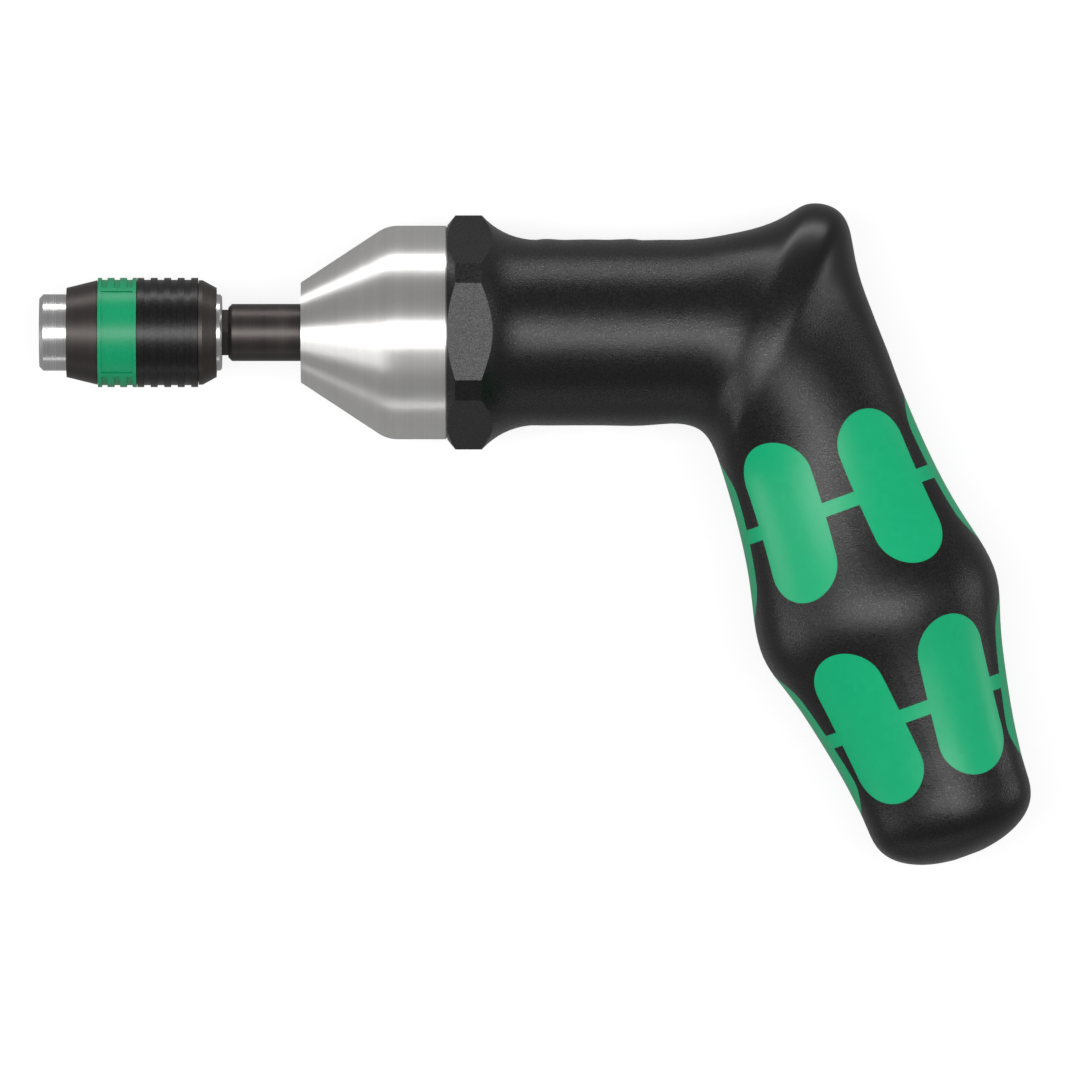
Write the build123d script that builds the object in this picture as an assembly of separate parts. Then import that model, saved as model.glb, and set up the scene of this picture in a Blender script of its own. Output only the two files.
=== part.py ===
from build123d import *
import os
from math import atan2, cos, degrees, pi, radians, sin

# Pistol-grip torque screwdriver with a quick-release chuck for 1/4 inch hexagon bits.
# It lies on its side. Millimetres. X is the drive axis and runs back from the mouth of the
# bit socket (the origin) to the handle, Y points away from the grip, Z points up.

# Running and sliding clearances, radial or axial
RUN = 0.03
SLIDE = 0.07
FACE_GAP = 0.05
BALL_GAP = 0.02

# Quick-release chuck: body with bit socket, lock ball and ejector
HEX_AF = 6.35                 # 1/4 inch hexagon of bits and of the shaft's front end
SOCKET_AF = 6.40
SOCKET_DEPTH = 12.5
CHUCK_R = 5.35
CHUCK_CHAMFER = 0.55
CHUCK_TAIL = 0.75             # how far the body shows behind the sleeve
NECK_LENGTH = 0.9             # bare hexagon between the chuck and the round shaft
EJECTOR_TRAVEL = 3.5
EJECTOR_HEAD_R = 2.95
EJECTOR_HEAD_T = 2.0
EJECTOR_STEM_R = 1.3
EJECTOR_CHAMBER_R = 3.05
EJECTOR_CHAMBER_LENGTH = 5.1
EJECTOR_WIRE = 0.45
LOCK_BALL_R = 1.25
LOCK_BALL_X = 6.5
LOCK_BALL_REACH = 0.5         # how far the ball stands into the socket

# Release sleeve round the chuck body
RELEASE_TRAVEL = 2.5
BALL_LIFT = 0.5               # outward travel of the lock ball over the release travel
SLEEVE_FRONT_X = 3.8
SLEEVE_LENGTH = 21.0
SLEEVE_LIP_R = 6.26
SLEEVE_SHOULDER_R = 7.32
SLEEVE_CONE = 4.3             # length of the front cone
SLEEVE_TUBE_R = 6.9
CAP_CONE = 1.95               # length of the rear cap's cone
CAP_RIM = 0.55
CAP_SPIGOT = 2.0
CHAMBER_R = 6.45              # spring chamber inside the sleeve
SPRING_STOP_X = 11.2          # step in the sleeve that meets the body's snap ring
SNAP_RING_T = 0.75
SNAP_RING_OPENING = 2.4
SNAP_GROOVE = 0.6
SLEEVE_SPRING_WIRE = 0.7
SLIM_SPRING_TURNS = 4         # of the sleeve spring and the ejector spring
THRUST_RING_T = 0.75
BAND_R = 7.66
BAND_GROOVE = 0.28            # depth of the bands' grooves
BAND_GAP = 0.1
COLOUR_BAND_WIDTH = 5.4
COLOUR_GROOVE_COUNT = 3
COLOUR_GROOVE_WIDTH = 0.8
COLOUR_BAND_EDGE = 0.55       # width of the ridge at each end
PANEL_MARGIN = 0.5            # plain border round each panel of the coloured band
PANEL_WIDTH = 11.5
PANEL_SINK = 0.14
BLACK_GROOVE_COUNT = 4

# Output shaft and its bearings
SHAFT_R = 4.0
SHAFT_CHAMFER = 0.5
SHAFT_SHOWS = 10.15           # length of the round shaft in front of the nose
SHAFT_FLAT = 3.2              # distance of the two drive flats from the axis
PILOT_R = 2.9
PILOT_LENGTH = 3.2
CLIP_T = 0.7
CLIP_R = 4.5
CLIP_OPENING = 3.0
CLIP_GROOVE = 0.8
CLIP_COLLAR = 0.6
BUSH_R = 5.6
REAR_BUSH_LENGTH = 6.0

# Turned nose cone
NOSE_FACE_R = 7.0
NOSE_CONE_LENGTH = 12.1
NOSE_LENGTH = 20.5            # in front of the handle
NOSE_SHOULDER_BLEND = 5.0
NOSE_LIP = 1.5
NOSE_BORE_LENGTH = 11.9       # seat of the front bush
NOSE_CAVITY_R = 8.2
NOSE_EDGE = 0.25
SPIGOT_LENGTH = 7.0

# Moulded handle: hexagon, flare and barrel
HEX_FLATS = 30.0              # across the flats of the moulded hexagon
HEX_CORNER_CUT = 0.94         # how much each sharp corner is cut back
HEX_CHAMFER = 1.5
HEX_AND_FLARE = 12.5          # length from the front to the end of the flare
BARREL_R = 13.02
BARREL_LEAD = 2.6             # how far the barrel's skin starts inside the flare
FLARE_R = 10.3
FLARE_SINK = 0.04             # how far the flare runs down into the barrel's skin
BORE_R = 10.8

# Grip: a straight axis that leaves the drive axis at the crossing and leans back
GRIP_TILT = 20.0
GRIP_REACH = 46.1             # from the handle's front to the crossing
STRAIGHT_END = -12.2          # end of the straight barrel, from the crossing
GRIP_LENGTH = 78.0
GRIP_HALF_WIDTHS = [          # distance down the grip axis, half width front to back
    (16.0, 13.85),
    (24.4, 14.45),
    (32.8, 15.80),
    (38.6, 17.10),
    (41.2, 17.35),
    (43.8, 17.10),
    (47.8, 15.90),
    (55.9, 13.85),
    (64.3, 12.35),
    (69.0, 11.88),            # the rounded end begins here
]
FRONT_BEND = [                # x from the crossing and y, in the crook under the barrel
    (-10.6, -13.75),
    (-9.5, -14.95),
    (-8.4, -17.2),
]
BACK_BEND = [                 # over the horn above the web of the hand, and down behind it
    (-5.1, 14.1),
    (0.5, 15.95),
    (3.3, 17.5),
    (5.65, 18.06),
    (8.1, 17.4),
    (9.9, 15.3),
    (10.7, 12.0),
    (12.7, 4.6),
    (14.7, -0.4),
    (17.2, -7.1),
]
GRIP_RIDGES = 0.025           # the six soft ridges between the pads, as a share of the radius
GRIP_END_FULLNESS = 2.9       # 2 would make the rounded end an ellipse
HORN_EGG = 0.20               # how much narrower the horn is than the barrel below it

# Moulded-in grip pads
PAD_COUNT = 6
PAD_LENGTH = 23.0
PAD_WIDTH = 10.4
PAD_DEPTH = 2.6               # under the middle of each end of a pad
PAD_WEB = 2.0
PAD_WEB_DEPTH = 1.0
UPPER_PADS_S = 25.6           # distance of the pads' middle down the grip axis
LOWER_PADS_S = 56.4

# Torque clutch
CUP_WALL = 1.1
CUP_FLOOR = 2.0
KEY_COUNT = 3
KEY_WIDTH = 3.0
KEY_HEIGHT = 0.8
KEY_GROOVE = 0.6
KEY_MARGIN = 1.0              # from the ends of the keys to the ends of the cup
WASHER_T = 1.2
CAM_T = 4.65
CAM_R = 9.2
CAM_POCKETS = 12
POCKET_DEPTH = 0.55
CLUTCH_LIFT = 0.7
CLUTCH_BALLS = 6
CLUTCH_BALL_R = 2.0
BALL_CIRCLE_R = 6.6
PLATE_T = 5.0
PLATE_R = 9.5
PLATE_GAP = 0.3               # from the balls' centres to the plate's face
PLATE_BOSS_R = 5.4
PLATE_BOSS_T = 2.6
TORQUE_SPRING_R = 7.4
TORQUE_SPRING_WIRE = 2.2
TORQUE_SPRING_TURNS = 3.5
TORQUE_SPRING_LENGTH = 12.75  # as set, between plate and nut
PRELOAD_NUT_T = 4.5
PRELOAD_RELEASE = 2.5         # travel of the nut back from there
NUT_STOP_GAP = 0.5
SPINDLE_R = 3.0
SPINDLE_LEAD = 7.5            # how far the thread reaches in front of the nut
SPINDLE_FLANGE_R = 5.5
SPINDLE_FLANGE_T = 1.4
JOURNAL_R = 2.5
SPINDLE_KEY_AF = 3.0
SPINDLE_KEY_DEPTH = 3.0
SPINDLE_WASHER_T = 0.75
SPINDLE_WASHER_R = 6.5

# Places that follow from the sizes
EJECTOR_X = SOCKET_DEPTH - EJECTOR_TRAVEL
SHAFT_FRONT_X = SOCKET_DEPTH + EJECTOR_CHAMBER_LENGTH
SLEEVE_REAR_X = SLEEVE_FRONT_X + SLEEVE_LENGTH
CHUCK_LENGTH = SLEEVE_REAR_X + CHUCK_TAIL
SHAFT_SHOULDER_X = CHUCK_LENGTH + NECK_LENGTH
NOSE_FRONT_X = SHAFT_SHOULDER_X + SHAFT_SHOWS
HANDLE_FRONT_X = NOSE_FRONT_X + NOSE_LENGTH
FLARE_END_X = HANDLE_FRONT_X + HEX_AND_FLARE
CAP_X = SLEEVE_REAR_X - CAP_CONE - CAP_RIM
BANDS_X = SLEEVE_FRONT_X + SLEEVE_CONE + BAND_GAP
SLIDE_R = CHUCK_R + SLIDE
SNAP_X = SPRING_STOP_X + FACE_GAP
THRUST_RING_X = CAP_X - CAP_SPIGOT - FACE_GAP - THRUST_RING_T
NOSE_R = HEX_FLATS / 2 - FACE_GAP
SPIGOT_END_X = HANDLE_FRONT_X + SPIGOT_LENGTH
CAM_X = SPIGOT_END_X + WASHER_T + FACE_GAP
CAM_FACE_X = CAM_X + CAM_T
BALLS_X = CAM_FACE_X + CLUTCH_BALL_R - POCKET_DEPTH
PLATE_X = BALLS_X + PLATE_GAP
SPRING_X = PLATE_X + PLATE_T
CUP_R = BORE_R - CUP_WALL
PRELOAD_NUT_X = SPRING_X + TORQUE_SPRING_LENGTH
SPINDLE_FRONT_X = PRELOAD_NUT_X - SPINDLE_LEAD
FLANGE_X = PRELOAD_NUT_X + PRELOAD_NUT_T + PRELOAD_RELEASE + NUT_STOP_GAP
SPINDLE_WASHER_X = FLANGE_X + SPINDLE_FLANGE_T + FACE_GAP
CUP_FLOOR_X = SPINDLE_WASHER_X + SPINDLE_WASHER_T
CUP_END_X = CUP_FLOOR_X + CUP_FLOOR
GRIP_DOWN = Vector(sin(radians(GRIP_TILT)), -cos(radians(GRIP_TILT)), 0)
GRIP_BACK = Vector(cos(radians(GRIP_TILT)), sin(radians(GRIP_TILT)), 0)
GRIP_CROSSING = Vector(HANDLE_FRONT_X + GRIP_REACH, 0, 0)
GRIP_BULGE_WIDTH = max(w for s, w in GRIP_HALF_WIDTHS)
# the bulge and the hexagon's flats are level, so that the tool lies on both
GRIP_DEPTH_SHARE = HEX_FLATS / 2 / (1 + GRIP_RIDGES) / GRIP_BULGE_WIDTH

QUARTER_POINTS = 6            # on each quarter turn of a section, four to each ridge
STATIONS = 40
FAN_START = 16.0              # where the sections start to turn, along the mean outline
FAN_END = 65.0
GRIP_END_ANGLES = (20, 38, 54, 68, 80)
TOUCH = 0.5                   # how far a cutter passes the face it opens
WIRE_SIDES = 6                # the springs' round wire is drawn with this many sides


# Shapes that several pieces share

def turned(*outline):
    """A solid of revolution round the drive axis, from (x, radius) corners."""
    return revolve(make_face(Polyline(*outline, close=True)), Axis.X)


def rod(x0, x1, r):
    """A round bar on the drive axis."""
    return Plane.YZ.offset(x0) * extrude(Circle(r), x1 - x0)


def ring(x0, x1, r_in, r_out):
    return rod(x0, x1, r_out) - rod(x0 - TOUCH, x1 + TOUCH, r_in)


def hex_bar(x0, x1, across_flats):
    """A hexagonal bar on the drive axis, with two flats facing along Y."""
    hexagon = RegularPolygon(across_flats / 2, 6, major_radius=False, rotation=30)
    return Plane.YZ.offset(x0) * extrude(hexagon, x1 - x0)


def ball(x, y, z, r):
    return Pos(x, y, z) * Rot(Y=90) * Sphere(r)


def snap_ring(x0, x1, r_in, r_out, opening):
    """An open retaining ring, its opening facing down."""
    cutter = Pos((x0 + x1) / 2, 0, -r_out) * Box(x1 - x0 + TOUCH, opening, 2 * r_out)
    return ring(x0, x1, r_in, r_out) - cutter


def coil_spring(x0, x1, mean_r, wire, turns):
    """A compression spring round the drive axis, between two faces."""
    length = x1 - x0 - wire - FACE_GAP
    path = Helix(length / turns, length, mean_r)
    profile = Plane(origin=path @ 0, z_dir=path % 0) * RegularPolygon(wire / 2, WIRE_SIDES)
    coil = sweep(profile, path, is_frenet=True)
    seat = Plane(((x0 + x1 - length) / 2, 0, 0), x_dir=(0, 1, 0), z_dir=(1, 0, 0))
    return seat * coil


def keys(x0, x1, r_in, r_out, width):
    """Three radial keys round the drive axis, the first one pointing away from the grip."""
    key = Pos((x0 + x1) / 2, (r_in + r_out) / 2, 0) * Box(x1 - x0, r_out - r_in, width)
    return [Rot(X=360 / KEY_COUNT * n) * key for n in range(KEY_COUNT)]


# Quick-release chuck

def chuck_body():
    outside = turned(
        (0, 0),
        (0, CHUCK_R - CHUCK_CHAMFER),
        (CHUCK_CHAMFER, CHUCK_R),
        (CHUCK_LENGTH - CHUCK_CHAMFER / 2, CHUCK_R),
        (CHUCK_LENGTH, CHUCK_R - CHUCK_CHAMFER / 2),
        (CHUCK_LENGTH, 0),
    )
    mouth_r = SOCKET_AF / 3 ** 0.5
    lead_in = turned(
        (-TOUCH, 0),
        (-TOUCH, mouth_r + TOUCH),
        (CHUCK_CHAMFER, mouth_r - TOUCH),
        (CHUCK_CHAMFER, 0),
    )
    body = outside - hex_bar(-TOUCH, SOCKET_DEPTH, SOCKET_AF) - lead_in
    body -= rod(SOCKET_DEPTH - TOUCH, SHAFT_FRONT_X, EJECTOR_CHAMBER_R)
    body -= hex_bar(SHAFT_FRONT_X, CHUCK_LENGTH + TOUCH, HEX_AF)
    body -= ring(SNAP_X, SNAP_X + SNAP_RING_T, CHUCK_R - SNAP_GROOVE, CHUCK_R + TOUCH)
    seat_r = LOCK_BALL_R + FACE_GAP
    shaft = Pos(LOCK_BALL_X, lock_ball_y(), 0) * Rot(X=-90) * Cylinder(
        seat_r, CHUCK_R, align=(Align.CENTER, Align.CENTER, Align.MIN)
    )
    return body - ball(LOCK_BALL_X, lock_ball_y(), 0, seat_r) - shaft


def lock_ball_y():
    return SOCKET_AF / 2 - LOCK_BALL_REACH + LOCK_BALL_R


def lock_ball():
    return ball(LOCK_BALL_X, lock_ball_y(), 0, LOCK_BALL_R)


def ejector():
    head = rod(EJECTOR_X, EJECTOR_X + EJECTOR_HEAD_T, EJECTOR_HEAD_R)
    stem_end = SHAFT_FRONT_X - EJECTOR_TRAVEL - 4 * FACE_GAP
    return head + rod(EJECTOR_X + EJECTOR_HEAD_T, stem_end, EJECTOR_STEM_R)


def ejector_spring():
    mean_r = (EJECTOR_STEM_R + EJECTOR_CHAMBER_R) / 2
    x0 = EJECTOR_X + EJECTOR_HEAD_T
    return coil_spring(x0, SHAFT_FRONT_X, mean_r, EJECTOR_WIRE, SLIM_SPRING_TURNS)


def chuck_snap_ring():
    outer_r = CHAMBER_R - 2 * SLIDE
    return snap_ring(SNAP_X, SNAP_X + SNAP_RING_T, CHUCK_R - SNAP_GROOVE, outer_r, SNAP_RING_OPENING)


# Release sleeve

def sleeve_shell():
    ramp_end = LOCK_BALL_X + RELEASE_TRAVEL + TOUCH / 2
    ramp_r = SLIDE_R + BALL_LIFT * (ramp_end - LOCK_BALL_X) / RELEASE_TRAVEL
    return turned(
        (SLEEVE_FRONT_X, SLIDE_R),
        (SLEEVE_FRONT_X, SLEEVE_LIP_R),
        (SLEEVE_FRONT_X + SLEEVE_CONE, SLEEVE_SHOULDER_R),
        (SLEEVE_FRONT_X + SLEEVE_CONE, SLEEVE_TUBE_R),
        (CAP_X, SLEEVE_TUBE_R),
        (CAP_X, CHAMBER_R),
        (SPRING_STOP_X, CHAMBER_R),
        (SPRING_STOP_X, ramp_r),
        (ramp_end, ramp_r),
        (LOCK_BALL_X, SLIDE_R),
    )


def sleeve_cap():
    return turned(
        (CAP_X - CAP_SPIGOT, SLIDE_R),
        (CAP_X - CAP_SPIGOT, CHAMBER_R),
        (CAP_X, CHAMBER_R),
        (CAP_X, SLEEVE_SHOULDER_R),
        (CAP_X + CAP_RIM, SLEEVE_SHOULDER_R),
        (SLEEVE_REAR_X, SLEEVE_LIP_R),
        (SLEEVE_REAR_X, SLIDE_R),
    )


def band(x0, x1, grooves, groove_width, edge):
    """A plastic ring on the sleeve with evenly spaced grooves round it, an edge from its ends."""
    body = ring(x0, x1, SLEEVE_TUBE_R, BAND_R)
    pitch = (x1 - x0 - 2 * edge - groove_width) / (grooves - 1)
    for n in range(grooves):
        start = x0 + edge + pitch * n
        body -= ring(start, start + groove_width, BAND_R - BAND_GROOVE, BAND_R + TOUCH)
    return body


def colour_band():
    """The coloured ring. Its grooves stop at a smooth sunk panel above and another below."""
    x1 = BANDS_X + COLOUR_BAND_WIDTH
    middle = Pos((BANDS_X + x1) / 2, 0, 0)
    border = middle * Box(COLOUR_BAND_WIDTH, PANEL_WIDTH + 2 * PANEL_MARGIN, 4 * BAND_R)
    window = middle * Box(COLOUR_BAND_WIDTH - 2 * PANEL_MARGIN, PANEL_WIDTH, 4 * BAND_R)
    body = band(BANDS_X, x1, COLOUR_GROOVE_COUNT, COLOUR_GROOVE_WIDTH, COLOUR_BAND_EDGE)
    body += ring(BANDS_X, x1, SLEEVE_TUBE_R, BAND_R) & border
    return body - (ring(BANDS_X, x1, BAND_R - PANEL_SINK, BAND_R + TOUCH) & window)


def black_band():
    """The black ring, with grooves as wide as the ridges between them."""
    x0 = BANDS_X + COLOUR_BAND_WIDTH + BAND_GAP
    x1 = CAP_X - BAND_GAP
    groove_width = (x1 - x0) / (2 * BLACK_GROOVE_COUNT + 1)
    return band(x0, x1, BLACK_GROOVE_COUNT, groove_width, groove_width)


def release_ring():
    return ring(THRUST_RING_X, THRUST_RING_X + THRUST_RING_T, SLIDE_R, CHAMBER_R - 2 * SLIDE)


def sleeve_spring():
    mean_r = (CHUCK_R + CHAMBER_R) / 2
    x0 = SNAP_X + SNAP_RING_T
    return coil_spring(x0, THRUST_RING_X, mean_r, SLEEVE_SPRING_WIRE, SLIM_SPRING_TURNS)


# Output shaft and nose

def shaft_flats(x0, x1, clearance=0.0):
    """The bar with two flats that drives the cam disc."""
    flat = SHAFT_FLAT + clearance
    r = SHAFT_R + clearance
    return rod(x0, x1, r) & Pos((x0 + x1) / 2, 0, 0) * Box(x1 - x0, 2 * flat, 2 * r)


def output_shaft():
    cam_end = CAM_FACE_X + FACE_GAP
    collar_x = cam_end + CLIP_T
    pilot_x = collar_x + CLIP_COLLAR
    shaft = turned(
        (SHAFT_SHOULDER_X, 0),
        (SHAFT_SHOULDER_X, SHAFT_R - SHAFT_CHAMFER),
        (SHAFT_SHOULDER_X + SHAFT_CHAMFER, SHAFT_R),
        (CAM_X, SHAFT_R),
        (CAM_X, 0),
    )
    shaft += hex_bar(SHAFT_FRONT_X, SHAFT_SHOULDER_X, HEX_AF)
    shaft += shaft_flats(CAM_X, pilot_x)
    shaft -= ring(cam_end, collar_x, SHAFT_R - CLIP_GROOVE, SHAFT_R + TOUCH)
    return shaft + rod(pilot_x, pilot_x + PILOT_LENGTH, PILOT_R)


def shaft_clip():
    x0 = CAM_FACE_X + FACE_GAP
    return snap_ring(x0, x0 + CLIP_T, SHAFT_R - CLIP_GROOVE, CLIP_R, CLIP_OPENING)


def nose_cone():
    cone_end = NOSE_FRONT_X + NOSE_CONE_LENGTH
    bush_x = NOSE_FRONT_X + NOSE_LIP
    outside = turned(
        (NOSE_FRONT_X, 0),
        (NOSE_FRONT_X, NOSE_FACE_R),
        (cone_end, NOSE_R),
        (HANDLE_FRONT_X - NOSE_EDGE, NOSE_R),
        (HANDLE_FRONT_X, NOSE_R - NOSE_EDGE),
        (HANDLE_FRONT_X, BORE_R),
        (SPIGOT_END_X, BORE_R),
        (SPIGOT_END_X, 0),
    )
    circles = outside.edges().filter_by(GeomType.CIRCLE)
    shoulder = circles.sort_by_distance((cone_end, NOSE_R, 0))[0]
    outside = fillet(shoulder, NOSE_SHOULDER_BLEND)
    inside = rod(NOSE_FRONT_X - TOUCH, bush_x, SHAFT_R + 2 * SLIDE)
    inside += rod(bush_x, bush_x + NOSE_BORE_LENGTH, BUSH_R)
    inside += rod(bush_x + NOSE_BORE_LENGTH, SPIGOT_END_X + TOUCH, NOSE_CAVITY_R)
    return outside - inside


def front_bush():
    bush_x = NOSE_FRONT_X + NOSE_LIP
    return ring(bush_x, bush_x + NOSE_BORE_LENGTH, SHAFT_R + RUN, BUSH_R)


def rear_bush():
    return ring(SPIGOT_END_X - REAR_BUSH_LENGTH, SPIGOT_END_X, SHAFT_R + RUN, NOSE_CAVITY_R)


# Torque clutch

def thrust_washer():
    x1 = SPIGOT_END_X + WASHER_T
    return ring(SPIGOT_END_X, x1, SHAFT_R + 2 * SLIDE, CUP_R - 2 * SLIDE)


def around_ball_circle(shape, count):
    return [Rot(X=360 / count * n) * shape for n in range(count)]


def cam_disc():
    disc = rod(CAM_X, CAM_FACE_X, CAM_R) - shaft_flats(CAM_X - TOUCH, CAM_FACE_X + TOUCH)
    pocket = ball(BALLS_X, BALL_CIRCLE_R, 0, CLUTCH_BALL_R + BALL_GAP)
    return disc - around_ball_circle(pocket, CAM_POCKETS)


def clutch_balls():
    first = ball(BALLS_X, BALL_CIRCLE_R, 0, CLUTCH_BALL_R)
    return Compound(around_ball_circle(first, CLUTCH_BALLS))


def keyed_disc(x0, x1):
    """A disc that slides in the cup's grooves without turning."""
    lug_r = CUP_R + KEY_GROOVE - 2 * SLIDE
    return rod(x0, x1, PLATE_R) + keys(x0, x1, PLATE_R - TOUCH, lug_r, KEY_WIDTH - 2 * SLIDE)


def pressure_plate():
    plate = keyed_disc(PLATE_X, SPRING_X) + rod(SPRING_X, SPRING_X + PLATE_BOSS_T, PLATE_BOSS_R)
    plate -= rod(PLATE_X - TOUCH, SPRING_X + PLATE_BOSS_T + TOUCH, PILOT_R + SLIDE)
    socket = ball(BALLS_X, BALL_CIRCLE_R, 0, CLUTCH_BALL_R + BALL_GAP)
    return plate - around_ball_circle(socket, CLUTCH_BALLS)


def torque_spring():
    size = (TORQUE_SPRING_R, TORQUE_SPRING_WIRE, TORQUE_SPRING_TURNS)
    return coil_spring(SPRING_X, PRELOAD_NUT_X, *size)


def preload_nut():
    x0, x1 = PRELOAD_NUT_X, PRELOAD_NUT_X + PRELOAD_NUT_T
    return keyed_disc(x0, x1) - rod(x0 - TOUCH, x1 + TOUCH, SPINDLE_R + RUN)


def preload_spindle():
    spindle = rod(SPINDLE_FRONT_X, FLANGE_X, SPINDLE_R)
    spindle += rod(FLANGE_X, FLANGE_X + SPINDLE_FLANGE_T, SPINDLE_FLANGE_R)
    spindle += rod(FLANGE_X + SPINDLE_FLANGE_T, CUP_END_X, JOURNAL_R)
    key_end = SPINDLE_FRONT_X + SPINDLE_KEY_DEPTH
    return spindle - hex_bar(SPINDLE_FRONT_X - TOUCH, key_end, SPINDLE_KEY_AF)


def spindle_washer():
    return ring(SPINDLE_WASHER_X, CUP_FLOOR_X, JOURNAL_R + SLIDE, SPINDLE_WASHER_R)


def cup_keys():
    """The three ribs outside the cup that keep it from turning in the handle."""
    ends = (SPIGOT_END_X + KEY_MARGIN, CUP_END_X - KEY_MARGIN)
    return keys(*ends, BORE_R - TOUCH, BORE_R + KEY_HEIGHT, KEY_WIDTH)


def clutch_cup():
    cup = rod(SPIGOT_END_X, CUP_END_X, BORE_R) + cup_keys()
    cup -= rod(SPIGOT_END_X - TOUCH, CUP_FLOOR_X, CUP_R)
    cup -= keys(CAM_FACE_X, CUP_FLOOR_X, CUP_R - TOUCH, CUP_R + KEY_GROOVE, KEY_WIDTH)
    return cup - rod(CUP_FLOOR_X - TOUCH, CUP_END_X + TOUCH, JOURNAL_R + RUN)


# Handle

def grip_point(s, v=0.0):
    """The point a distance s down the grip axis, and v behind it."""
    return GRIP_CROSSING + GRIP_DOWN * s + GRIP_BACK * v


def section(front, back, half_depth, ridges=0.0, egg=0.0):
    """A cross-section of the handle between its front and back outline points.

    It is a closed wire of four curves, one to a quarter turn. The first starts at the back, on
    the parting line in the middle plane, and each runs smoothly into the next.
    """
    middle = (front + back) * 0.5
    across = (back - front) * 0.5
    points, speeds = [], []
    for n in range(4 * QUARTER_POINTS + 1):
        turn = pi / 2 * n / QUARTER_POINTS
        ridge = 1 + ridges * (1 - cos(PAD_COUNT * turn)) / 2
        depth = half_depth * sin(turn) * (1 - egg * cos(turn))
        points.append(middle + (across * cos(turn) + Vector(0, 0, depth)) * ridge)
        rise = half_depth * (cos(turn) * (1 - egg * cos(turn)) + egg * sin(turn) ** 2)
        speeds.append((across * -sin(turn) + Vector(0, 0, rise)) * (ridge * pi / 2))
    points[-1] = points[0]
    steps = [n / QUARTER_POINTS for n in range(QUARTER_POINTS + 1)]
    quarters = []
    for start in range(0, 4 * QUARTER_POINTS, QUARTER_POINTS):
        end = start + QUARTER_POINTS
        ends = [speeds[start], speeds[end]]
        quarters.append(Edge.make_spline(points[start:end + 1], ends, parameters=steps, scale=False))
    return Wire(quarters)


def outline(side, bend_points):
    """The handle's outline in the middle plane, from the barrel to the grip's rounded end.

    The side is -1 for the front, in the crook of the grip, and 1 for the back, over the horn.
    """
    start = FLARE_END_X - BARREL_LEAD
    length = GRIP_CROSSING.X + STRAIGHT_END - start
    barrel = [Vector(start + length * n / 4, side * BARREL_R) for n in range(5)]
    bend = [GRIP_CROSSING + Vector(x, y) for x, y in bend_points]
    grip = [grip_point(s, side * w) for s, w in GRIP_HALF_WIDTHS]
    return Spline(*barrel, *bend, *grip)


def smooth_step(value, start, end):
    t = min(max((value - start) / (end - start), 0), 1)
    return t * t * (3 - 2 * t)


def handle_form():
    """The handle's outer form behind the barrel: bend, horn and grip in one smooth skin.

    The sections stand square to the barrel, fan out round the bend and end square to the grip.
    """
    front, back = outline(-1, FRONT_BEND), outline(1, BACK_BEND)
    length = (front.length + back.length) / 2
    lag = (back.length - front.length) / 2
    sections = []
    for n in range(STATIONS):
        along = length * n / (STATIONS - 1)
        turn = smooth_step(along, FAN_START, FAN_END)
        a = front @ ((along - lag * turn) / front.length)
        b = back @ ((along + lag * turn) / back.length)
        half_depth = BARREL_R * (1 - turn) + (b - a).length / 2 * GRIP_DEPTH_SHARE * turn
        egg = HORN_EGG * sin(pi * turn) ** 2
        sections.append(section(a, b, half_depth, ridges=GRIP_RIDGES * turn, egg=egg))
    start_s, start_w = GRIP_HALF_WIDTHS[-1]
    for angle in GRIP_END_ANGLES:
        s = start_s + (GRIP_LENGTH - start_s) * sin(radians(angle)) ** (2 / GRIP_END_FULLNESS)
        w = start_w * cos(radians(angle))
        a, b = grip_point(s, -w), grip_point(s, w)
        sections.append(section(a, b, w * GRIP_DEPTH_SHARE, ridges=GRIP_RIDGES))
    return Part() + Solid.make_loft(sections)


def hexagon():
    """The moulded hexagon with its cut corners, chamfered in front and flared into the barrel."""
    chamfer_r = HEX_FLATS / 2
    corner_r = HEX_FLATS / 3 ** 0.5 - HEX_CORNER_CUT
    foot_r = BARREL_R - FLARE_SINK
    arc_centre_r = foot_r + FLARE_R
    top_r = arc_centre_r - TOUCH
    top_x = FLARE_END_X - (FLARE_R ** 2 - TOUCH ** 2) ** 0.5
    flare = ThreePointArc(
        (top_x, top_r),
        (FLARE_END_X - FLARE_R * sin(pi / 4), arc_centre_r - FLARE_R * cos(pi / 4)),
        (FLARE_END_X, foot_r),
    )
    outline = flare + Polyline(
        (FLARE_END_X, foot_r), (FLARE_END_X, 0), (HANDLE_FRONT_X, 0),
        (HANDLE_FRONT_X, chamfer_r), (HANDLE_FRONT_X + HEX_CHAMFER, corner_r + TOUCH),
        (HANDLE_FRONT_X + HEX_CHAMFER, top_r), (top_x, top_r),
    )
    form = revolve(make_face(outline), Axis.X)
    flats = RegularPolygon(HEX_FLATS / 2, 6, major_radius=False)
    corners = RegularPolygon(corner_r, 6, major_radius=False, rotation=30)
    prism = Plane.YZ.offset(HANDLE_FRONT_X) * extrude(flats & corners, FLARE_END_X - HANDLE_FRONT_X)
    return form & prism


def half_width(s):
    """Half the grip's width at a distance down its axis, read off the table."""
    for (s0, w0), (s1, w1) in zip(GRIP_HALF_WIDTHS, GRIP_HALF_WIDTHS[1:]):
        if s <= s1:
            return w0 + (w1 - w0) * (s - s0) / (s1 - s0)
    return GRIP_HALF_WIDTHS[-1][1]


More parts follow.
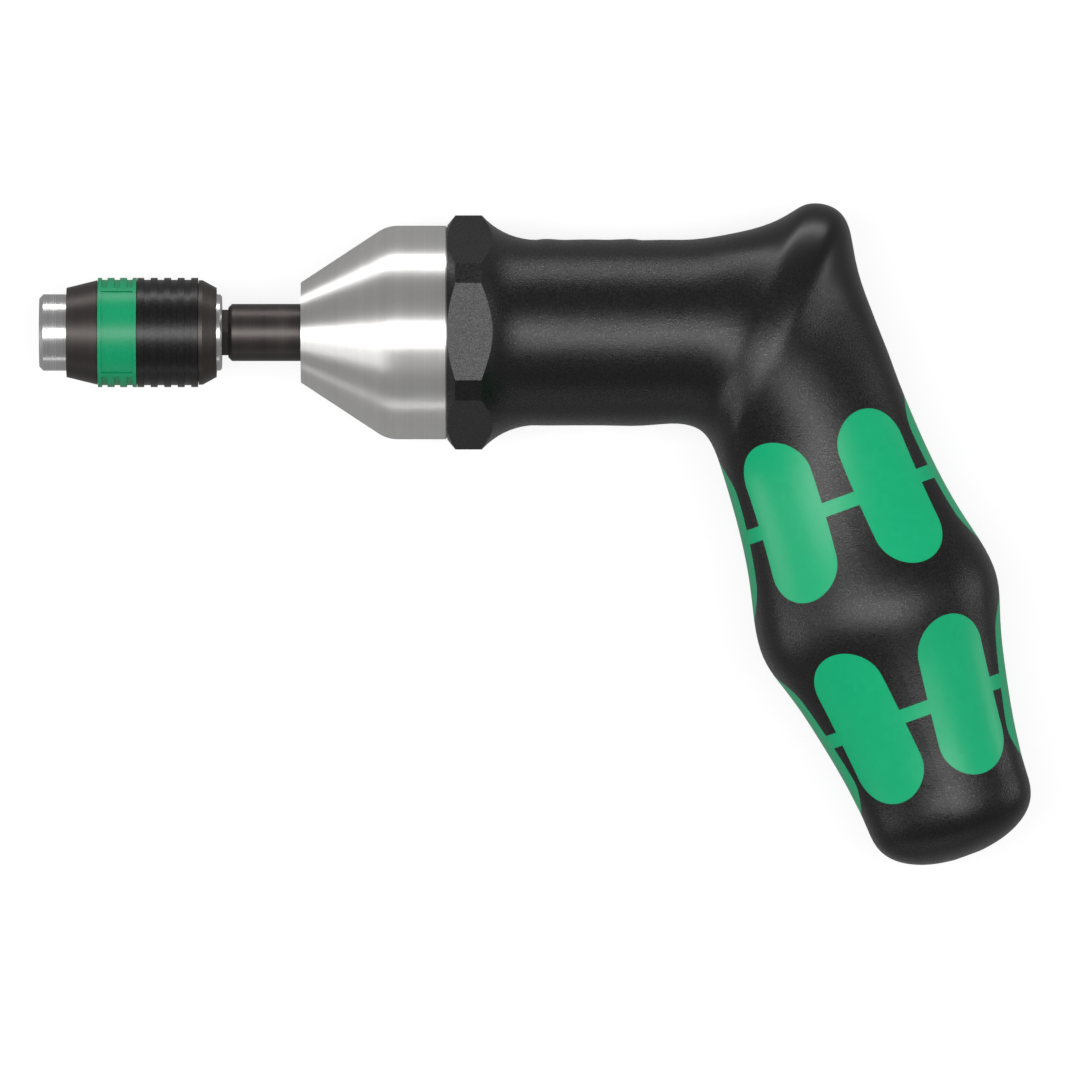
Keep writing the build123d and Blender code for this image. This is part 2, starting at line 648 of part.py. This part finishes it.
def pad_pocket(s):
    """The room for one ring of pads: six round-ended pockets and the web that links them."""
    reach = 1.5 * GRIP_BULGE_WIDTH
    web_floor = half_width(s) - PAD_WEB_DEPTH
    web = Circle(reach) - Ellipse(web_floor, web_floor * GRIP_DEPTH_SHARE)
    pocket = Plane(grip_point(s - PAD_WEB / 2), GRIP_BACK, GRIP_DOWN) * extrude(web, PAD_WEB)
    ends = (s - PAD_LENGTH / 2, s + PAD_LENGTH / 2)
    for n in range(PAD_COUNT):
        turn = 2 * pi * n / PAD_COUNT
        rim = GRIP_BACK * cos(turn) + Vector(0, 0, GRIP_DEPTH_SHARE * sin(turn))
        top, foot = [grip_point(end) + rim * half_width(end) for end in ends]
        skin_normal = GRIP_BACK * (GRIP_DEPTH_SHARE * cos(turn)) + Vector(0, 0, sin(turn))
        along = foot - top
        outward = (skin_normal - along * (skin_normal.dot(along) / along.dot(along))).normalized()
        floor = Plane((top + foot) * 0.5 - outward * PAD_DEPTH, along, outward)
        pocket += floor * extrude(SlotOverall(PAD_LENGTH, PAD_WIDTH), reach / 2)
    return pocket


def handle_pieces():
    """The black moulding and the two coloured pad rings moulded into it."""
    grip = handle_form()
    body = hexagon() + grip
    body -= rod(HANDLE_FRONT_X - TOUCH, CUP_END_X, BORE_R)
    body -= cup_keys()
    pads = []
    for s in (UPPER_PADS_S, LOWER_PADS_S):
        pocket = pad_pocket(s)
        pads.append(grip & pocket)
        body -= pocket
    return body, *pads


def main():
    os.makedirs("parts", exist_ok=True)
    handle, upper_pads, lower_pads = handle_pieces()
    pieces = {
        "handle": handle,
        "upper_grip_pads": upper_pads,
        "lower_grip_pads": lower_pads,
        "nose_cone": nose_cone(),
        "front_bush": front_bush(),
        "rear_bush": rear_bush(),
        "thrust_washer": thrust_washer(),
        "clutch_cup": clutch_cup(),
        "spindle_washer": spindle_washer(),
        "torque_spring": torque_spring(),
        "output_shaft": output_shaft(),
        "cam_disc": cam_disc(),
        "shaft_clip": shaft_clip(),
        "chuck_body": chuck_body(),
        "chuck_snap_ring": chuck_snap_ring(),
        "lock_ball": lock_ball(),
        "ejector": ejector(),
        "ejector_spring": ejector_spring(),
        "sleeve_spring": sleeve_spring(),
        "release_ring": release_ring(),
        "sleeve_shell": sleeve_shell(),
        "sleeve_cap": sleeve_cap(),
        "colour_band": colour_band(),
        "black_band": black_band(),
        "pressure_plate": pressure_plate(),
        "clutch_balls": clutch_balls(),
        "preload_nut": preload_nut(),
        "preload_spindle": preload_spindle(),
    }
    for name, piece in pieces.items():
        export_step(piece, f"parts/{name}.step")


main()
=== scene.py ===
from math import pi

import bmesh
import bpy
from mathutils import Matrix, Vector


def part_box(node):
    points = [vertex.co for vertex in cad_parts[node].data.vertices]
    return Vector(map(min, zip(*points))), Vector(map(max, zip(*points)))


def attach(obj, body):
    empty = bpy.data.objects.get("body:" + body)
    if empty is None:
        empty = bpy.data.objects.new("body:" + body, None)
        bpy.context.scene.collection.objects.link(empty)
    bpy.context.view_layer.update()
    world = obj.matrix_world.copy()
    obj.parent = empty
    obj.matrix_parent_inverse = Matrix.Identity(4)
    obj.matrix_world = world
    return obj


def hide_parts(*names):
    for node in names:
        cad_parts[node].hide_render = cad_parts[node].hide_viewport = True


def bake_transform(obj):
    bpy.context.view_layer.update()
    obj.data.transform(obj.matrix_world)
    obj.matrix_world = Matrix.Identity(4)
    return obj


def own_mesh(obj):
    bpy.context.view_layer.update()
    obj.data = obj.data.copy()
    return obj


# A pistol-grip torque screwdriver that lies on its side. Metres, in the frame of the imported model:
# X runs back along the drive axis from the mouth of the bit socket, Y points away from the grip.
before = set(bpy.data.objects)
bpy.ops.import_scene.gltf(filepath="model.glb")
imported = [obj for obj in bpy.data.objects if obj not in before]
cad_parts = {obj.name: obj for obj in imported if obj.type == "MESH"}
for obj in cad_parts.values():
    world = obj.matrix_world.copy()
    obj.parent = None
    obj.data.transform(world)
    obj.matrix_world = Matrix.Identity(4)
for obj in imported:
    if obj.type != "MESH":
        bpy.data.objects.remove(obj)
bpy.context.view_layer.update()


# Handle. One moulding of hard black plastic: hexagon, flared barrel, horn and grip. The mould was
# spark-eroded, which leaves a fine even grain, and its two halves met in the grip's middle plane.
# Towards the tip of the horn the grain fades out.

MM = 0.001
BLACK_DARK, BLACK_LIGHT = (0.001, 0.001, 0.001), (0.003, 0.0029, 0.0028)
BLACK_ROUGHNESS = (0.22, 0.4)
BLACK_GRAIN_SIZE = 0.18 * MM
BLACK_GRAIN_DEPTH = 0.025 * MM
PARTING_LINE_WIDTH = 0.12 * MM
HORN_CENTRE = (109.5 * MM, 15 * MM, 0)
HORN_SMOOTH_WITHIN, HORN_GRAINED_BEYOND = 9.5 * MM, 16 * MM
HORN_SPECKLE = 0.5            # the even tone where there is no grain, from dark 0 to light 1
CLUMP_SCALE = 0.22            # clumps in the grain are four to five specks wide


def add_node(tree, kind, sockets=None, **settings):
    """A new node. Each socket is given a value, or another node's output that it is linked to."""
    node = tree.nodes.new(kind)
    for name, value in settings.items():
        setattr(node, name, value)
    for name, value in (sockets or {}).items():
        if isinstance(value, bpy.types.NodeSocket):
            tree.links.new(value, node.inputs[name])
        else:
            node.inputs[name].default_value = value
    return node


def math_node(tree, operation, *values, clamp=False):
    """The output of one Math node."""
    node = add_node(tree, "ShaderNodeMath", dict(enumerate(values)), operation=operation, use_clamp=clamp)
    return node.outputs[0]


def spread(tree, value, low, high):
    """A 0 to 1 value spread over the range from low to high."""
    node = add_node(tree, "ShaderNodeMapRange", {"Value": value, "To Min": low, "To Max": high})
    return node.outputs[0]


def blend_numbers(tree, share, first, second):
    """A number from first to second, by a 0 to 1 share."""
    return add_node(tree, "ShaderNodeMix", {0: share, 2: first, 3: second}).outputs[0]


def blend_colours(tree, share, first, second):
    """A colour from first to second, by a 0 to 1 share."""
    colours = {0: share, 6: (*first, 1), 7: (*second, 1)}
    return add_node(tree, "ShaderNodeMix", colours, data_type="RGBA").outputs[2]


def effect_group(name, inputs, outputs):
    """A shader node group with named number inputs and named number outputs."""
    group = bpy.data.node_groups.new(name, "ShaderNodeTree")
    for label, value in inputs.items():
        socket = group.interface.new_socket(label, in_out="INPUT", socket_type="NodeSocketFloat")
        socket.default_value = value
    for label in outputs:
        group.interface.new_socket(label, in_out="OUTPUT", socket_type="NodeSocketFloat")
    return group, group.nodes.new("NodeGroupInput").outputs, group.nodes.new("NodeGroupOutput").inputs


def use_effect(tree, group, **values):
    """The outputs of an effect placed in a material with its own values."""
    node = add_node(tree, "ShaderNodeGroup", values, node_tree=group)
    return node.outputs


def new_finish(name, colour, roughness, metallic=0.0, **sockets):
    """A material with its Principled shader set, and what its textures are linked to."""
    material = bpy.data.materials.new(name)
    material.use_nodes = True
    material.diffuse_color = (*colour, 1)
    shader = material.node_tree.nodes["Principled BSDF"].inputs
    shader["Base Color"].default_value = (*colour, 1)
    shader["Roughness"].default_value = roughness
    shader["Metallic"].default_value = metallic
    for label, value in sockets.items():
        shader[label.replace("_", " ")].default_value = value
    return material, material.node_tree, shader


def vary(tree, shader, mask, dark, light, roughness):
    """Colour and roughness that follow a mask, from their first values at 0 to their second at 1."""
    tree.links.new(blend_colours(tree, mask, dark, light), shader["Base Color"])
    tree.links.new(spread(tree, mask, *roughness), shader["Roughness"])


def emboss(tree, shader, height, depth, strength=1.0):
    """A relief too fine to model, as deep as depth where the height is 1."""
    bump = add_node(tree, "ShaderNodeBump", {"Height": height, "Distance": depth, "Strength": strength})
    tree.links.new(bump.outputs["Normal"], shader["Normal"])


def give_finish(material, *names):
    """The material in every slot of the named nodes."""
    for name in names:
        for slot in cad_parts[name].material_slots:
            slot.material = material


def make_mould_grain():
    """Fine moulded grain: its height, and a mask that differs from speck to speck."""
    group, given, result = effect_group("mould_grain", {"Size": 0.3 * MM, "Clumps": 0.5},
                                        ["Height", "Speckle"])
    place = add_node(group, "ShaderNodeTexCoord").outputs["Object"]
    scale = math_node(group, "DIVIDE", 1.0, given["Size"])
    specks = add_node(group, "ShaderNodeTexVoronoi", {"Vector": place, "Scale": scale}).outputs
    coarse_scale = math_node(group, "MULTIPLY", scale, CLUMP_SCALE)
    coarse = add_node(group, "ShaderNodeTexNoise", {"Vector": place, "Scale": coarse_scale, "Detail": 1.0})
    clumps = math_node(group, "MULTIPLY", coarse.outputs["Fac"], given["Clumps"])
    group.links.new(math_node(group, "ADD", specks["Distance"], clumps), result["Height"])
    grey = add_node(group, "ShaderNodeRGBToBW", {"Color": specks["Color"]})
    group.links.new(grey.outputs["Val"], result["Speckle"])
    return group


def make_parting_line():
    """A hair-line ridge where two mould halves met, in the plane through the drive axis."""
    group, given, result = effect_group("parting_line", {"Width": PARTING_LINE_WIDTH}, ["Height"])
    place = add_node(group, "ShaderNodeTexCoord").outputs["Object"]
    z = add_node(group, "ShaderNodeSeparateXYZ", {"Vector": place}).outputs["Z"]
    away = math_node(group, "DIVIDE", math_node(group, "ABSOLUTE", z), given["Width"])
    group.links.new(math_node(group, "SUBTRACT", 1.0, away, clamp=True), result["Height"])
    return group


mould_grain = make_mould_grain()
parting_line = make_parting_line()


def moulded_black():
    """Black plastic with a fine even grain and a parting line, smooth near the tip of the horn."""
    material, tree, shader = new_finish("moulded_black", BLACK_LIGHT, BLACK_ROUGHNESS[1],
                                        Specular_IOR_Level=0.38)
    grain = use_effect(tree, mould_grain, Size=BLACK_GRAIN_SIZE, Clumps=0.05)
    line = use_effect(tree, parting_line, Width=PARTING_LINE_WIDTH)
    place = add_node(tree, "ShaderNodeTexCoord").outputs["Object"]
    away = add_node(tree, "ShaderNodeVectorMath", {0: place, 1: HORN_CENTRE}, operation="DISTANCE")
    fade = {"Value": away.outputs["Value"], "From Min": HORN_SMOOTH_WITHIN, "From Max": HORN_GRAINED_BEYOND}
    grained = add_node(tree, "ShaderNodeMapRange", fade).outputs[0]
    speckle = blend_numbers(tree, grained, HORN_SPECKLE, grain["Speckle"])
    vary(tree, shader, speckle, BLACK_DARK, BLACK_LIGHT, BLACK_ROUGHNESS)
    height = math_node(tree, "MULTIPLY_ADD", grain["Height"], grained, line["Height"])
    emboss(tree, shader, height, BLACK_GRAIN_DEPTH)
    return material


give_finish(moulded_black(), "handle")


# Grip pads. Two rings of six hard, smooth green pads, moulded into the black plastic and flush
# with it. Nothing but a faint orange peel breaks their gloss.

PAD_DARK, PAD_LIGHT = (0.0003, 0.33, 0.138), (0.0006, 0.345, 0.145)
PAD_ROUGHNESS = (0.33, 0.37)
PAD_PEEL_SIZE = 1.1 * MM
PAD_PEEL_DEPTH = 0.02 * MM


def pad_green():
    """Smooth, slightly glossy green plastic."""
    material, tree, shader = new_finish("pad_green", PAD_LIGHT, PAD_ROUGHNESS[1], Specular_IOR_Level=0.36)
    peel = use_effect(tree, mould_grain, Size=PAD_PEEL_SIZE, Clumps=0.8)
    vary(tree, shader, peel["Speckle"], PAD_DARK, PAD_LIGHT, PAD_ROUGHNESS)
    emboss(tree, shader, peel["Height"], PAD_PEEL_DEPTH, strength=0.4)
    return material


give_finish(pad_green(), "upper_grip_pads", "lower_grip_pads")


# Nose cone. Aluminium, turned on a lathe and screwed into the handle. The fine marks of the turning
# tool run round it, and the light is drawn out across them into bands along the cone.

DRIFT_SCALE = 180.0           # a feed mark strays from its ring over about 6 mm
BROAD_MARKS_SCALE = 0.12      # broad rings of another tone are about eight feed marks wide
TONE_CONTRAST = (-0.6, 1.6)
ACROSS_THE_MARKS = 0.25       # a quarter turn


def make_turning_marks():
    """Lathe marks round the drive axis: their height, and a tone mask from ring to ring."""
    group, given, result = effect_group("turning_marks", {"Pitch": 0.2 * MM, "Waver": 0.3},
                                        ["Height", "Tone"])
    place = add_node(group, "ShaderNodeTexCoord").outputs["Object"]
    x = add_node(group, "ShaderNodeSeparateXYZ", {"Vector": place}).outputs["X"]
    rings = math_node(group, "DIVIDE", x, given["Pitch"])
    drift = add_node(group, "ShaderNodeTexNoise", {"Vector": place, "Scale": DRIFT_SCALE, "Detail": 1.0})
    waver = math_node(group, "MULTIPLY", drift.outputs["Fac"], given["Waver"])
    along = math_node(group, "ADD", rings, waver)
    fine_marks = {"W": along, "Scale": 1.0, "Detail": 3.0, "Roughness": 0.7}
    fine = add_node(group, "ShaderNodeTexNoise", fine_marks, noise_dimensions="1D").outputs["Fac"]
    broad_marks = {"W": along, "Scale": BROAD_MARKS_SCALE, "Detail": 2.0}
    broad = add_node(group, "ShaderNodeTexNoise", broad_marks, noise_dimensions="1D").outputs["Fac"]
    group.links.new(fine, result["Height"])
    tone = math_node(group, "MULTIPLY_ADD", broad, 0.5, math_node(group, "MULTIPLY", fine, 0.5))
    group.links.new(spread(group, tone, *TONE_CONTRAST), result["Tone"])
    return group


turning_marks = make_turning_marks()


def turned_metal(name, dark, light, roughness, pitch, depth, anisotropy=0.0, waver=0.3):
    """Metal turned on a lathe, with a dark and a light tone and a range of roughness."""
    material, tree, shader = new_finish(name, light, roughness[1], metallic=1.0, Anisotropic=anisotropy)
    marks = use_effect(tree, turning_marks, Pitch=pitch, Waver=waver)
    vary(tree, shader, marks["Tone"], dark, light, roughness)
    emboss(tree, shader, marks["Height"], depth)
    if anisotropy:
        tangent = add_node(tree, "ShaderNodeTangent", direction_type="RADIAL", axis="X")
        tree.links.new(tangent.outputs["Tangent"], shader["Tangent"])
        shader["Anisotropic Rotation"].default_value = ACROSS_THE_MARKS
    return material


turned_aluminium = turned_metal("turned_aluminium", dark=(0.8, 0.792, 0.78), light=(0.9, 0.893, 0.88),
                                roughness=(0.4, 0.46), pitch=0.22 * MM, depth=0.006 * MM,
                                anisotropy=0.95)
give_finish(turned_aluminium, "nose_cone")


# Output shaft. Dark burnished steel: the round shaft with its short hexagon in front, and the two
# flats inside the handle that drive the clutch. The release sleeve's shell and rear cap have the
# same finish.

burnished_steel = turned_metal("burnished_steel", dark=(0.055, 0.049, 0.047), light=(0.075, 0.067, 0.064),
                               roughness=(0.4, 0.48), pitch=0.3 * MM, depth=0.004 * MM, anisotropy=0.2)
give_finish(burnished_steel, "output_shaft", "sleeve_shell", "sleeve_cap")


# Chuck body. Bright steel, turned and ground, with the bit socket broached into its front end. The
# hard parts that slide or turn on each other in the chuck and the clutch are ground in the same way.

ground_steel = turned_metal("ground_steel", dark=(0.5, 0.5, 0.5), light=(0.66, 0.66, 0.655),
                            roughness=(0.2, 0.3), pitch=0.15 * MM, depth=0.003 * MM, anisotropy=0.3)
give_finish(ground_steel, "chuck_body", "ejector", "release_ring", "thrust_washer", "spindle_washer",
            "cam_disc", "pressure_plate", "preload_nut", "preload_spindle")


# Colour band and black band. Two plastic rings pressed onto the release sleeve, with grooves for
# the fingers; the green one marks the chuck that can be worked with one hand.

BAND_GRAIN_SIZE = 0.2 * MM
BAND_GRAIN_DEPTH = 0.01 * MM


def band_plastic(name, dark, light, roughness):
    """Satin moulded plastic of the sleeve's rings."""
    material, tree, shader = new_finish(name, light, roughness[1], Specular_IOR_Level=0.35)
    grain = use_effect(tree, mould_grain, Size=BAND_GRAIN_SIZE, Clumps=0.3)
    vary(tree, shader, grain["Speckle"], dark, light, roughness)
    emboss(tree, shader, grain["Height"], BAND_GRAIN_DEPTH, strength=0.5)
    return material


band_green = band_plastic("band_green", dark=(0.0005, 0.235, 0.096), light=(0.001, 0.265, 0.11),
                          roughness=(0.31, 0.42))
band_black = band_plastic("band_black", dark=(0.001, 0.001, 0.001), light=(0.003, 0.003, 0.003),
                          roughness=(0.28, 0.39))
give_finish(band_green, "colour_band")
give_finish(band_black, "black_band")


# Balls. Bearing steel, hardened and polished. One drops through the wall of the chuck body and locks
# the bit; six lie between the pressure plate and the cam disc and carry the clutch's torque.

BALL_TONE = (0.75, 0.75, 0.76)
BALL_ROUGHNESS = (0.05, 0.12)


def polished_steel():
    """Mirror-bright steel with a breath of haze."""
    material, tree, shader = new_finish("polished_steel", BALL_TONE, BALL_ROUGHNESS[1], metallic=1.0)
    haze = use_effect(tree, mould_grain, Size=0.8 * MM, Clumps=1.0)
    tree.links.new(spread(tree, haze["Speckle"], *BALL_ROUGHNESS), shader["Roughness"])
    return material


give_finish(polished_steel(), "lock_ball", "clutch_balls")


# Springs and rings. Drawn spring wire with an oily dark bloom. The coils of the sleeve and ejector
# springs become pieces of their own that go with the output, and the torque spring's coils are cut in two
# at its middle.

WIRE_DARK, WIRE_LIGHT = (0.2, 0.19, 0.185), (0.36, 0.35, 0.34)
WIRE_ROUGHNESS = (0.26, 0.42)


def drawn_wire():
    """Spring steel with a patchy bloom of oil."""
    material, tree, shader = new_finish("drawn_wire", WIRE_LIGHT, WIRE_ROUGHNESS[1], metallic=1.0)
    bloom = use_effect(tree, mould_grain, Size=0.9 * MM, Clumps=0.6)
    vary(tree, shader, bloom["Speckle"], WIRE_DARK, WIRE_LIGHT, WIRE_ROUGHNESS)
    return material


give_finish(drawn_wire(), "torque_spring", "ejector_spring", "sleeve_spring", "shaft_clip",
            "chuck_snap_ring")


def live_coil(name, node, x_from, x_to):
    """The coils of a spring between two planes across the drive axis, as a piece of its own in place of the
    spring.
    """
    coil = bpy.data.objects.new(name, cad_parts[node].data.copy())
    bpy.context.scene.collection.objects.link(coil)
    cut = bmesh.new()
    cut.from_mesh(coil.data)
    for x, outward in ((x_from, -1), (x_to, 1)):
        everything = cut.verts[:] + cut.edges[:] + cut.faces[:]
        bmesh.ops.bisect_plane(cut, geom=everything, plane_co=(x, 0, 0), plane_no=(outward, 0, 0),
                               clear_outer=True)
        bmesh.ops.holes_fill(cut, edges=[edge for edge in cut.edges if edge.is_boundary])
    cut.to_mesh(coil.data)
    cut.free()
    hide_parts(node)
    return coil


def ends(node):
    """Where a node begins and ends along the drive axis."""
    low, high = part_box(node)
    return low[0], high[0]


low, high = ends("sleeve_spring")
sleeve_coil = live_coil("sleeve_coil", "sleeve_spring", low, high)
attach(sleeve_coil, "output")
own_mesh(sleeve_coil)

low, high = ends("ejector_spring")
ejector_coil = live_coil("ejector_coil", "ejector_spring", low, high)
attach(ejector_coil, "output")
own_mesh(ejector_coil)

low, high = ends("torque_spring")
middle = (low + high) / 2
torque_coil_front = live_coil("torque_coil_front", "torque_spring", low, middle)
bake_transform(torque_coil_front)
torque_coil_rear = live_coil("torque_coil_rear", "torque_spring", middle, high)
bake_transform(torque_coil_rear)


# Shaft bushes. Two plain bearings pressed into the nose cone, in which the shaft turns. They are of
# sintered bronze that holds its own oil, so they are finely porous.

BRONZE_PORE, BRONZE_FACE = (0.3, 0.19, 0.09), (0.58, 0.41, 0.22)
BRONZE_ROUGHNESS = (0.55, 0.3)
PORE_SIZE = 0.18 * MM
PORE_DEPTH = 0.02 * MM


def sintered_bronze():
    """Bronze with dark, dull pores in a smoother face."""
    material, tree, shader = new_finish("sintered_bronze", BRONZE_FACE, BRONZE_ROUGHNESS[1], metallic=1.0)
    pores = use_effect(tree, mould_grain, Size=PORE_SIZE, Clumps=0.2)
    vary(tree, shader, pores["Speckle"], BRONZE_PORE, BRONZE_FACE, BRONZE_ROUGHNESS)
    emboss(tree, shader, pores["Height"], PORE_DEPTH, strength=0.6)
    return material


give_finish(sintered_bronze(), "front_bush", "rear_bush")


# Clutch cup. Deep-drawn steel with a grey phosphate coat, keyed into the handle. It holds the clutch
# and the torque spring, and keeps the pressure plate and the preload nut from turning.

cup_phosphate = turned_metal("cup_phosphate", dark=(0.24, 0.24, 0.24), light=(0.36, 0.36, 0.355),
                             roughness=(0.42, 0.56), pitch=0.8 * MM, depth=0.004 * MM, waver=1.2)
give_finish(cup_phosphate, "clutch_cup")


# Ground, light and camera. The tool lies on a white ground and is seen from straight above, from
# so far away that nothing shrinks with distance.

FLOOR_Z = -15 * MM
FLOOR_HALF = 4.0
GROUND_TONE = (0.22, 0.22, 0.22)
GROUND_GLOW = 0.8             # what the ground's own tone lacks to a plain white
STUDIO_LIGHT, STUDIO_WHITE = 0.24, 0.9
MIRRORED_SHARE = 0.1          # how much of the added white the tool mirrors
PHOTO_WIDTH = 149.8 * MM
PHOTO_CENTRE = Vector((69.37 * MM, -28.35 * MM, 0))
LENS = 800.0
SENSOR = 36.0
CLIP_END = 20.0


def seen_white(tree):
    """1 where the camera looks, also through something clear, and a small share in a mirror image."""
    path = add_node(tree, "ShaderNodeLightPath").outputs
    looked_at = math_node(tree, "ADD", path["Is Camera Ray"], path["Is Transmission Ray"])
    return math_node(tree, "MULTIPLY_ADD", path["Is Glossy Ray"], MIRRORED_SHARE, looked_at, clamp=True)


def white_ground():
    """Matt white card that keeps a soft shadow and still reads as white."""
    material, tree, shader = new_finish("white_ground", GROUND_TONE, roughness=0.9, Specular_IOR_Level=0.1)
    glow = math_node(tree, "MULTIPLY", seen_white(tree), GROUND_GLOW)
    tree.links.new(glow, shader["Emission Strength"])
    shader["Emission Color"].default_value = (1, 1, 1, 1)
    return material


def ground_sheet():
    """One wide square under the tool."""
    mesh = bpy.data.meshes.new("ground")
    signs = ((-1, -1), (1, -1), (1, 1), (-1, 1))
    mesh.from_pydata([(x * FLOOR_HALF, y * FLOOR_HALF, FLOOR_Z) for x, y in signs], [], [(0, 1, 2, 3)])
    mesh.materials.append(white_ground())
    ground = bpy.data.objects.new("ground", mesh)
    bpy.context.scene.collection.objects.link(ground)


def softbox(name, place, width, height, brightness):
    """A soft lamp at a place from the picture's centre, which it faces. Its width lies level."""
    lamp = bpy.data.lights.new(name, "AREA")
    lamp.shape = "RECTANGLE"
    lamp.size, lamp.size_y = width, height
    lamp.energy = brightness * pi * width * height
    holder = bpy.data.objects.new(name, lamp)
    holder.location = PHOTO_CENTRE + Vector(place)
    holder.rotation_euler = (-Vector(place)).to_track_quat("-Z", "Y").to_euler()
    holder.visible_camera = False
    bpy.context.scene.collection.objects.link(holder)


ground_sheet()
softbox("lamp_above", place=(0, -0.01, 0.9), width=1.5, height=0.31, brightness=7.0)
softbox("lamp_far_side", place=(0, 0.9, 0.09), width=1.4, height=0.16, brightness=7.0)
softbox("lamp_near_side", place=(0, -0.9, 0.04), width=1.4, height=0.08, brightness=1.8)
softbox("lamp_front", place=(-0.8, -0.16, 0.28), width=0.5, height=0.22, brightness=4.6)
softbox("lamp_back", place=(0.87, 0.1, 0.08), width=0.4, height=0.12, brightness=6.0)

world = bpy.data.worlds.new("studio")
world.use_nodes = True
studio = world.node_tree
backdrop = studio.nodes["Background"].inputs
backdrop["Color"].default_value = (1, 1, 1, 1)
studio.links.new(spread(studio, seen_white(studio), STUDIO_LIGHT, STUDIO_WHITE), backdrop["Strength"])
bpy.context.scene.world = world

camera = bpy.data.objects.new("camera", bpy.data.cameras.new("camera"))
camera.data.lens = LENS
camera.data.sensor_width = SENSOR
camera.data.clip_end = CLIP_END
camera.location = PHOTO_CENTRE + Vector((0, 0, PHOTO_WIDTH * LENS / SENSOR))
bpy.context.scene.collection.objects.link(camera)
bpy.context.scene.camera = camera
bpy.context.scene.view_settings.view_transform = "Standard"
